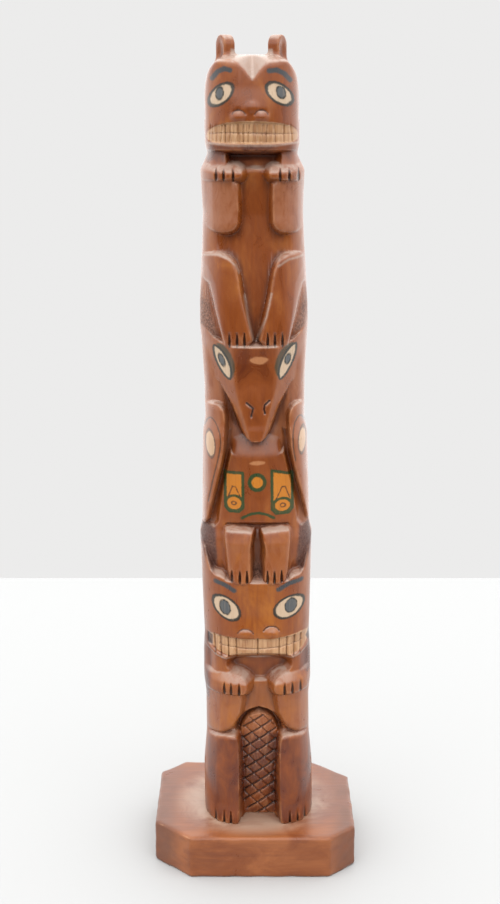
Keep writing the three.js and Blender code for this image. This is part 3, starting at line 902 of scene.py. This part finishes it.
def tones_and_painted_light(surface, facing):
    """Slow changes of the wood's colour, with painted shade, sheen and highlights, from 0 to 1."""
    warmth_and_shade = np.zeros(surface.x.shape)
    # Painted sheen: the pole's sides are paler.
    painted_sheen = 0.6 * ramp(np.abs(surface.x), 12, 18)
    fading = ramp(-surface.y, 1.0, 6.0)
    # Each tone paints its warmth and its sheen; the dark tones in the recesses and behind the limbs are
    # painted shade.
    for outline, fade, tone_and_shade, pale in FIGURE_TONES:
        inside = ramp(surface.area([outline]), -fade, fade) * fading
        warmth_and_shade += (tone_and_shade - warmth_and_shade) * inside
        painted_sheen += (pale - painted_sheen) * inside
    rough = surface.area(map(smooth, ROUGH_PATCHES))
    return {
        # The tone, partly painted shade where it is low.
        "warmth_and_shade": 0.5 + 0.5 * warmth_and_shade,
        # Painted sheen on the sides and on surfaces that turn up.
        "painted_sheen": painted_sheen,
        # Dark stain with painted shade in the cuts.
        "stain_and_shade": surface.read(stain_and_shade_map) * surface.front,
        # Convex edges, paler with wear and with a painted highlight.
        "edge": np.clip(0.5 + 1.6 * bend(surface, 0.6), 0, 1),
        # Painted shade: darker in the hollows and in the corners between parts.
        "hollow_shade": np.clip(0.5 - 1.5 * bend(surface, 2.0), 0, 1),
        "punched": ramp(rough, -0.4, 0.6) * fading,
        # Painted reflection: surfaces that face up are paler, less so on the tail's face.
        "upward_sheen": ramp(facing, 0.35, 0.85) * (1 - 0.8 * ramp(surface.area([TAIL_FACE]), -1, 1)),
    }

# ---- the pole's mesh ----

POLE_TRIANGLES, BOARD_TRIANGLES = 192000, 40000
# Of these paints the mesh keeps only the edges, and of the others the whole mark.
BROAD_PAINTS = ("white", "teeth", "ochre", "cream", "chip")

points, faces = mesh_of(field, (x_line, y_line, z_line))
points[:, 0] += LEAN_FOOT + LEAN_SLOPE * (points[:, 2] - FOOT)
points = np.clip(points, pole_low, pole_high)
pole = new_mesh("pole_carving", points * MM, faces)

# Where it is painted the mesh isn't thinned, so that the paint's edges stay clean.
keep = np.zeros(len(points), bool)
for name, depth in paint(Surface(points)).items():
    keep |= np.abs(depth) < 0.9 if name in BROAD_PAINTS else depth > -0.6
group = pole.vertex_groups.new(name="thin")
group.add(np.nonzero(~keep)[0].tolist(), 1.0, "REPLACE")


def thinned(piece, triangles, group=None):
    """Collapses the mesh to about this many triangles, and shades it smooth."""
    now = sum(len(face.vertices) - 2 for face in piece.data.polygons)
    if now > triangles:
        modifier = piece.modifiers.new("thin", "DECIMATE")
        modifier.ratio = triangles / now
        if group:
            modifier.vertex_group = group
        depsgraph = bpy.context.evaluated_depsgraph_get()
        mesh = bpy.data.meshes.new_from_object(piece.evaluated_get(depsgraph))
        piece.modifiers.clear()
        piece.data = mesh
        mesh.name = piece.name
    piece.data.polygons.foreach_set("use_smooth", np.ones(len(piece.data.polygons), bool))


def add_layer(piece, name, values):
    layer = piece.data.attributes.new(name, "FLOAT", "POINT")
    layer.data.foreach_set("value", np.asarray(values, np.float32))


thinned(pole, POLE_TRIANGLES, group.name)
pole.vertex_groups.clear()
surface = Surface(coordinates(pole.data) / MM)
upward = np.empty(len(pole.data.vertices) * 3, np.float32)
pole.data.vertices.foreach_get("normal", upward)
for name, values in {**paint(surface), **tones_and_painted_light(surface, upward[2::3])}.items():
    add_layer(pole, name, values)

# ---- the plinth's mesh ----

BOARD_STEP = 0.7
# How much of each corner is sawn off, measured along either side.
FRONT_LEFT, FRONT_RIGHT, BACK_RIGHT, BACK_LEFT = 14, 10, 14, 9.5


def board_outline():
    """The board's octagon, seen from above."""
    (left, front, _), (right, back, _) = plinth_low, plinth_high
    return [
        (left + FRONT_LEFT, front), (right - FRONT_RIGHT, front), (right, front + FRONT_RIGHT),
        (right, back - BACK_RIGHT), (right - BACK_RIGHT, back), (left + BACK_LEFT, back),
        (left, back - BACK_LEFT), (left, front + FRONT_LEFT),
    ]


def board_field(lines):
    """The sawn octagonal board, its edges rubbed round and its sides a little uneven."""
    x, y = np.meshgrid(lines[0], lines[1], indexing="ij")
    z = lines[2]
    side = -inside_distance(board_outline(), x, y)[:, :, None]
    around = np.arctan2(y, x)[:, :, None] * 9
    wave = 0.05 * np.sin(around * 1.7 + z * 0.5) + 0.03 * np.sin(around * 4.3 - z * 1.1 + 2)
    side = side + 0.2 + wave
    ends = np.maximum(z - plinth_high[2], plinth_low[2] - z)
    body = smooth_max(side, ends, 1.0 + 0.35 * np.sin(around * 2.3 + 1))
    return np.maximum(body, ends).astype(np.float32)


board_lines = [
    np.arange(low - 2 * BOARD_STEP + 0.13, high + 2 * BOARD_STEP, BOARD_STEP)
    for low, high in zip(plinth_low, plinth_high)
]
board_points, board_faces = mesh_of(board_field(board_lines), board_lines)
board_points = np.clip(board_points, plinth_low, plinth_high)
board = new_mesh("plinth_board", board_points * MM, board_faces)
thinned(board, BOARD_TRIANGLES)
places = coordinates(board.data) / MM
rim = np.minimum(inside_distance(board_outline(), places[:, 0], places[:, 1]), 3)
rim += np.maximum(plinth_high[2] - places[:, 2], 0)
add_layer(board, "edge", ramp(rim, 1.6, 0.2))

# ---- materials ----


class Nodes:
    """A short way to write the nodes of a material or of the world."""

    def __init__(self, owner):
        owner.use_nodes = True
        self.owner, self.tree = owner, owner.node_tree

    def link(self, value, socket):
        """Joins an output to the socket, or sets the socket to a constant."""
        if isinstance(value, bpy.types.NodeSocket):
            self.tree.links.new(value, socket)
        elif socket.type == "RGBA":
            socket.default_value = (*value, 1)
        else:
            socket.default_value = value

    def node(self, kind, settings=None, **inputs):
        """Adds a node; i2 stands for its input number 2, and other inputs go by their names."""
        node = self.tree.nodes.new(kind)
        for key, value in (settings or {}).items():
            setattr(node, key, value)
        for key, value in inputs.items():
            self.link(value, node.inputs[int(key[1:]) if key[1:].isdigit() else key])
        return node

    def value(self, name):
        return self.node("ShaderNodeAttribute", {"attribute_name": name}).outputs["Fac"]

    def math(self, operation, a, b=0.0):
        return self.node("ShaderNodeMath", {"operation": operation}, i0=a, i1=b).outputs[0]

    def times(self, a, b):
        return self.math("MULTIPLY", a, b)

    def ramp(self, value, start, end, low=0.0, high=1.0):
        settings = {"interpolation_type": "SMOOTHSTEP"}
        node = self.node("ShaderNodeMapRange", settings, i0=value, i1=start, i2=end, i3=low, i4=high)
        return node.outputs[0]

    def mix(self, share, a, b):
        return self.node("ShaderNodeMix", {"data_type": "RGBA"}, i0=share, i6=a, i7=b).outputs[2]

    def split(self, coordinates):
        """The x, y and z of the texture coordinates of this name."""
        place = self.node("ShaderNodeTexCoord").outputs[coordinates]
        return self.node("ShaderNodeSeparateXYZ", i0=place).outputs

    def noise(self, scale, detail=3.0, roughness=0.55, distortion=0.0):
        """Noise with so many cells to the metre along each axis of the object."""
        place = self.node("ShaderNodeTexCoord").outputs["Object"]
        place = self.node("ShaderNodeMapping", i0=place, i3=scale).outputs[0]
        node = self.node("ShaderNodeTexNoise", {"noise_dimensions": "3D"}, Vector=place, Scale=1.0,
                         Detail=detail, Roughness=roughness, Distortion=distortion)
        return node.outputs["Fac"]

    def bump(self, height, distance, strength=1.0, below=None):
        node = self.node("ShaderNodeBump", Height=height, Distance=distance, Strength=strength)
        if below is not None:
            self.link(below, node.inputs["Normal"])
        return node.outputs["Normal"]

    def finish(self, color, roughness, **others):
        """Feeds the material's shader, and returns the material."""
        shader = self.tree.nodes["Principled BSDF"]
        self.link(color, shader.inputs["Base Color"])
        self.link(roughness, shader.inputs["Roughness"])
        for key, value in others.items():
            self.link(value, shader.inputs[key.replace("_", " ")])
        return self.owner


# Each paint, from the lowest to the topmost: its colour, how far its edge fades in mm, how well it
# covers, and how much less it covers where the grain has worn it.  The teeth's colour is mixed.
PAINTS = (
    # The first, pale paint is a painted highlight on edges, ledges and the crown; along the bear's lower lip
    # it is pale paint.
    ("painted_gloss", (0.35, 0.255, 0.205), 0.5, 0.85, 0.4),
    ("chip", (0.40, 0.17, 0.07), 0.3, 0.9, 0.3),
    ("ochre", (0.47, 0.165, 0.018), 0.12, 0.95, 0.25),
    ("cream", (0.50, 0.33, 0.20), 0.15, 0.85, 0.25),
    ("green", (0.016, 0.046, 0.015), 0.2, 0.95, 0.25),
    ("fine", (0.07, 0.028, 0.014), 0.12, 0.85, 0.25),
    ("teeth", None, 0.2, 0.95, 0.25),
    ("lid", (0.045, 0.040, 0.022), 0.4, 0.9, 0.25),
    ("brow", (0.030, 0.040, 0.046), 0.35, 0.96, 0.25),
    ("white", (0.50, 0.37, 0.25), 0.12, 0.95, 0.25),
    ("pupil", (0.050, 0.062, 0.072), 0.15, 0.95, 0.25),
    ("outline", (0.012, 0.012, 0.008), 0.2, 0.96, 0.2),
)
CEDAR = {
    # The milky colour is a painted sheen, the rubbed one wear with a painted highlight, the hollow and shaded
    # ones painted shade, the dusty one a painted reflection on tops, and the cut one stain with painted
    # shade.
    "dark": (0.085, 0.016, 0.004), "red": (0.205, 0.047, 0.005), "orange": (0.34, 0.105, 0.009),
    "streak": (0.105, 0.018, 0.006), "grain": (0.08, 0.014, 0.006), "sheen_pink": (0.27, 0.098, 0.042),
    "rubbed_and_lit": (0.40, 0.17, 0.07), "hollow_shade": (0.055, 0.011, 0.004), "upward_sheen": (0.36, 0.25, 0.20),
    "pit": (0.055, 0.020, 0.013), "punched": (0.26, 0.125, 0.08), "shaded": (0.06, 0.017, 0.010),
    "cut": (0.020, 0.008, 0.006),
}
TOOTH = {
    "pale": (0.50, 0.30, 0.16), "tan": (0.34, 0.17, 0.075), "grain": (0.24, 0.10, 0.045),
    "cut": (0.09, 0.035, 0.018),
}
BOARD = {
    # The pale top is a painted sheen, the rubbed edges are wear with a painted highlight, and one colour only
    # darkens the ends.
    "brown": (0.17, 0.043, 0.010), "tan": (0.27, 0.085, 0.024), "streak": (0.11, 0.03, 0.012),
    "grain": (0.10, 0.03, 0.014), "painted_gloss": (0.40, 0.29, 0.22), "darker_ends": (0.10, 0.035, 0.018),
    "rubbed_and_lit": (0.46, 0.24, 0.12),
}


def cedar_wood(s, streaks, fine, mottle, pits):
    """The stained and varnished wood that lies under the paint, with painted shade in its hollows and
    recesses and painted sheen and highlights on its sides, tops and edges.
    """
    painted_sheen, hollow_shade, edge = s.value("painted_sheen"), s.value("hollow_shade"), s.value("edge")
    blotch = s.noise((260, 260, 150), 4, 0.65, 1.0)
    # A low tone turns dark red-brown, which is partly painted shade.
    warmth_and_shade = s.math("ADD", s.value("warmth_and_shade"), s.math("SUBTRACT", mottle, 0.5))
    wood = s.mix(s.ramp(warmth_and_shade, 0.05, 0.5), CEDAR["dark"], CEDAR["red"])
    wood = s.mix(s.ramp(warmth_and_shade, 0.45, 0.95), wood, CEDAR["orange"])
    wood = s.mix(s.ramp(streaks, 0.42, 0.75, 0, 0.35), wood, CEDAR["streak"])
    wood = s.mix(s.ramp(fine, 0.55, 0.8, 0, 0.25), wood, CEDAR["grain"])
    # Painted sheen, in blotches.
    wood = s.mix(s.times(painted_sheen, s.ramp(blotch, 0.32, 0.6, 0.35, 1.0)), wood, CEDAR["sheen_pink"])
    # Paler convex edges: worn varnish and a painted highlight.
    worn = s.times(s.ramp(edge, 0.56, 0.85), s.ramp(blotch, 0.4, 0.65, 0.05, 0.45))
    wood = s.mix(worn, wood, CEDAR["rubbed_and_lit"])
    # Painted shade in the hollows.
    wood = s.mix(s.ramp(hollow_shade, 0.58, 1.0, 0, 0.6), wood, CEDAR["hollow_shade"])
    # Painted reflection on surfaces that face up, less of it in the hollows.
    sheen_share = s.times(s.value("upward_sheen"), s.ramp(blotch, 0.3, 0.6, 0.35, 0.95))
    sheen_share = s.times(sheen_share, s.ramp(hollow_shade, 0.85, 0.6, 0.3, 1.0))
    wood = s.mix(sheen_share, wood, CEDAR["upward_sheen"])
    rough = s.mix(s.ramp(pits, 0.35, 0.65), CEDAR["pit"], CEDAR["punched"])
    # Painted shade on the rough patches where the tone is low.
    rough = s.mix(s.ramp(warmth_and_shade, 0.35, 0.0, 0, 0.8), rough, CEDAR["shaded"])
    wood = s.mix(s.times(s.value("punched"), 0.8), wood, rough)
    # Dark stain with painted shade in the cuts.
    return s.mix(s.ramp(s.value("stain_and_shade"), 0.1, 0.8, 0, 0.9), wood, CEDAR["cut"])


def tooth_color(s, streaks, fine):
    tooth = s.mix(s.ramp(streaks, 0.3, 0.7), TOOTH["pale"], TOOTH["tan"])
    tooth = s.mix(s.ramp(fine, 0.45, 0.7, 0, 0.45), tooth, TOOTH["grain"])
    # Dark stain with painted shade in the teeth's cuts.
    return s.mix(s.ramp(s.value("stain_and_shade"), 0.2, 0.8, 0, 0.9), tooth, TOOTH["cut"])


def painted(s, color, streaks, fine):
    """Lays the paints over the wood, with slightly wavering edges."""
    wobble = s.times(s.math("SUBTRACT", s.noise((900, 900, 900), 2), 0.5), 0.5)
    tooth = tooth_color(s, streaks, fine)
    for name, tint, soft, strength, worn in PAINTS:
        depth = s.math("ADD", s.value(name), wobble)
        cover = s.ramp(fine, 0.75, 0.5, strength - worn, strength)
        color = s.mix(s.times(s.ramp(depth, -soft, soft), cover), color, tint or tooth)
    return color


def carved_cedar():
    s = Nodes(bpy.data.materials.new("varnished_cedar"))
    streaks = s.noise((420, 420, 26), 4, 0.6, 0.6)
    fine = s.noise((2400, 2400, 120), 3, 0.6)
    mottle = s.noise((120, 120, 70), 4, 0.6, 0.8)
    pits = s.noise((1500, 1500, 1200), 4, 0.65)
    punched = s.value("punched")
    color = painted(s, cedar_wood(s, streaks, fine, mottle, pits), streaks, fine)
    relief = s.bump(streaks, 0.00012, 0.5)
    relief = s.bump(fine, 0.00006, 0.5, relief)
    relief = s.bump(s.times(pits, punched), 0.0006, 0.9, relief)
    roughness = s.math("ADD", s.ramp(mottle, 0.25, 0.75, 0.25, 0.40), s.times(punched, 0.22))
    return s.finish(color, roughness, Normal=relief, Coat_Weight=0.12, Coat_Roughness=0.2,
                    Specular_IOR_Level=0.42)


def sawn_board():
    s = Nodes(bpy.data.materials.new("varnished_board"))
    streaks = s.noise((30, 260, 420), 4, 0.6, 0.5)
    fine = s.noise((130, 2200, 2400), 3, 0.6)
    mottle = s.noise((55, 55, 90), 4, 0.6, 0.8)
    wood = s.mix(s.ramp(mottle, 0.3, 0.7), BOARD["brown"], BOARD["tan"])
    wood = s.mix(s.ramp(streaks, 0.4, 0.75, 0, 0.4), wood, BOARD["streak"])
    wood = s.mix(s.ramp(fine, 0.55, 0.8, 0, 0.3), wood, BOARD["grain"])
    # A painted pale sheen lies on the top around the feet, the wood is darker towards the ends, and the
    # sawn edges are paler, rubbed and with a painted highlight.
    x, y, z = s.split("Object")
    reach = s.math("POWER", s.math("ADD", s.math("POWER", x, 2), s.math("POWER", y, 2)), 0.5)
    painted_gloss = s.times(s.ramp(reach, 0.034, 0.022), s.ramp(mottle, 0.3, 0.6, 0.1, 0.75))
    painted_gloss = s.times(painted_gloss, s.ramp(z, 0.0152, 0.0158))
    wood = s.mix(painted_gloss, wood, BOARD["painted_gloss"])
    # Darker towards the ends.
    aside = s.ramp(s.math("ABSOLUTE", x), 0.026, 0.035)
    wood = s.mix(s.times(aside, s.ramp(mottle, 0.35, 0.6, 0.2, 0.75)), wood, BOARD["darker_ends"])
    # Paler sawn edges: wear and a painted highlight.
    rim = s.times(s.ramp(s.value("edge"), 0.55, 0.8), s.ramp(fine, 0.4, 0.6, 0.2, 0.6))
    wood = s.mix(rim, wood, BOARD["rubbed_and_lit"])
    relief = s.bump(fine, 0.00008, 0.5, s.bump(streaks, 0.00015, 0.5))
    roughness = s.ramp(mottle, 0.25, 0.75, 0.26, 0.42)
    return s.finish(wood, roughness, Normal=relief, Coat_Weight=0.15, Coat_Roughness=0.2,
                    Specular_IOR_Level=0.4)


pole.data.materials.append(carved_cedar())
board.data.materials.append(sawn_board())
for piece, node, slot in ((pole, "totem_pole", "carved_cedar"), (board, "plinth", "plinth_wood")):
    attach(piece, "root")
    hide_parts(node)

# ---- the studio ----

# Places are in metres, the camera's lens and sensor in millimetres and its angle in degrees.
# The floor ends behind the pole where the photograph's backdrop begins.
FLOOR_SIDE, FLOOR_FRONT, FLOOR_BACK = 3, -0.42, 0.326
FLOOR_COLOR, FLOOR_ROUGHNESS = (0.415, 0.42, 0.42), 0.8
BACKDROP = 0.84
FRONT_LOW, FRONT_HIGH, WALLS = 0.1, 3.0, 1.9
LAMP = {"place": (0, 0.1, 1.1), "aim": (0, 0, 0.15), "size": 0.7, "power": 2}
CAMERA = {"place": (-0.0018, -0.5424, 0.28354), "down": 13.28, "sensor": 36, "lens": 59.734513}

floor_corners = [
    (-FLOOR_SIDE, FLOOR_FRONT, 0), (FLOOR_SIDE, FLOOR_FRONT, 0),
    (FLOOR_SIDE, FLOOR_BACK, 0), (-FLOOR_SIDE, FLOOR_BACK, 0),
]
floor = new_mesh("floor", floor_corners, np.array([(0, 1, 2, 3)]))
pale_floor = Nodes(bpy.data.materials.new("pale_floor")).finish(FLOOR_COLOR, FLOOR_ROUGHNESS)
floor.data.materials.append(pale_floor)

# A wide soft light stands above and before the pole.  Low down before it the room is dark, and the
# walls behind and beside it are pale.  The camera sees one even backdrop instead.
world = bpy.data.worlds.new("studio")
bpy.context.scene.world = world
s = Nodes(world)
x, y, z = s.split("Generated")
before = s.ramp(y, -0.1, -0.7)
above = s.ramp(z, 0.02, 0.38, FRONT_LOW, FRONT_HIGH)
strength = s.node("ShaderNodeMix", i0=before, i2=WALLS, i3=above).outputs[0]
seen = s.node("ShaderNodeLightPath").outputs["Is Camera Ray"]
strength = s.node("ShaderNodeMix", i0=seen, i2=strength, i3=BACKDROP).outputs[0]
background = world.node_tree.nodes["Background"]
s.link(strength, background.inputs["Strength"])
s.link((1, 0.995, 0.99), background.inputs["Color"])

lamp_data = bpy.data.lights.new("over", "AREA")
lamp_data.size = LAMP["size"]
lamp_data.energy = LAMP["power"]
lamp = bpy.data.objects.new("over", lamp_data)
bpy.context.scene.collection.objects.link(lamp)
lamp.location = LAMP["place"]
ahead = Vector(LAMP["aim"]) - Vector(LAMP["place"])
lamp.rotation_euler = ahead.to_track_quat("-Z", "Y").to_euler()

camera_data = bpy.data.cameras.new("camera")
camera_data.sensor_width = CAMERA["sensor"]
camera_data.lens = CAMERA["lens"]
camera_data.clip_start = 0.01
camera = bpy.data.objects.new("camera", camera_data)
bpy.context.scene.collection.objects.link(camera)
camera.location = CAMERA["place"]
camera.rotation_euler = (math.radians(90 - CAMERA["down"]), 0, 0)
bpy.context.scene.camera = camera
bpy.context.scene.view_settings.view_transform = "Standard"
